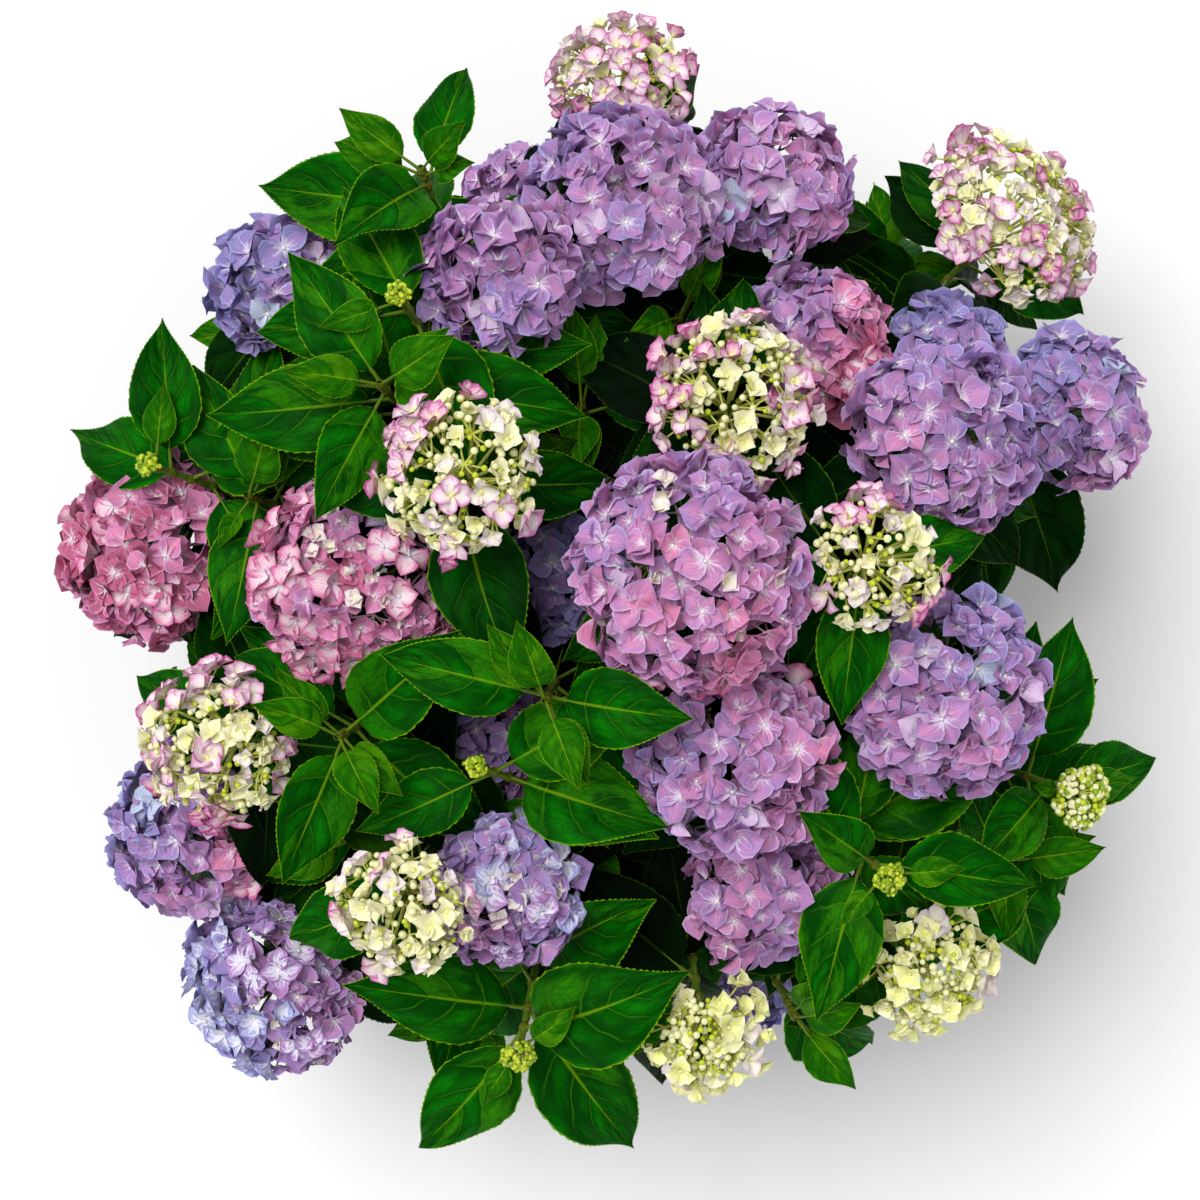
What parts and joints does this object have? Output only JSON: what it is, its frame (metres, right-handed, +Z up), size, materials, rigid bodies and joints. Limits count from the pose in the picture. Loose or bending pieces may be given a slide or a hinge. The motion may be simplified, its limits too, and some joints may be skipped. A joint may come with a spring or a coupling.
{
  "type": "hydrangea shrub",
  "caption": "Rounded mophead hydrangea shrub in full bloom: a root crown with fanned canes, crossed pairs of broad toothed leaves and domed heads of four-petalled florets.",
  "frame": {"origin": "middle of the flat cut under the root crown, at ground level", "axes": "+Z up, +Y towards the side of the crown that lies at the top when seen from straight above, +X towards its right side"},
  "size_m": [0.8516, 0.8669, 0.6882],
  "materials": {
    "old_wood": "matt flaking bark",
    "cane_bark": "matt, faintly ribbed bark with pale dots",
    "leaf_and_blossom": "half-glossy green leaves with pink, lilac, violet, blue and cream blossom"
  },
  "bodies": {
    "root": {"root_crown": "old_wood", "north_cane": "cane_bark", "north_east_cane": "cane_bark", "north_west_cane": "cane_bark", "west_upper_cane": "cane_bark", "west_cane": "cane_bark", "heart_west_cane": "cane_bark", "heart_cane": "cane_bark", "heart_east_cane": "cane_bark", "far_north_east_cane": "cane_bark", "east_cane": "cane_bark", "east_lower_cane": "cane_bark", "far_east_cane": "cane_bark", "south_east_cane": "cane_bark", "far_south_east_cane": "cane_bark", "south_cane": "cane_bark", "south_lower_cane": "cane_bark", "south_west_cane": "cane_bark", "west_lower_cane": "cane_bark", "far_south_west_cane": "cane_bark", "north_mass": "leaf_and_blossom", "north_east_mass": "leaf_and_blossom", "north_west_mass": "leaf_and_blossom", "west_upper_mass": "leaf_and_blossom", "west_mass": "leaf_and_blossom", "heart_west_mass": "leaf_and_blossom", "heart_mass": "leaf_and_blossom", "heart_east_mass": "leaf_and_blossom", "far_north_east_mass": "leaf_and_blossom", "east_mass": "leaf_and_blossom", "east_lower_mass": "leaf_and_blossom", "far_east_mass": "leaf_and_blossom", "south_east_mass": "leaf_and_blossom", "far_south_east_mass": "leaf_and_blossom", "south_mass": "leaf_and_blossom", "south_lower_mass": "leaf_and_blossom", "south_west_mass": "leaf_and_blossom", "west_lower_mass": "leaf_and_blossom", "far_south_west_mass": "leaf_and_blossom"}
  },
  "joints": []
}
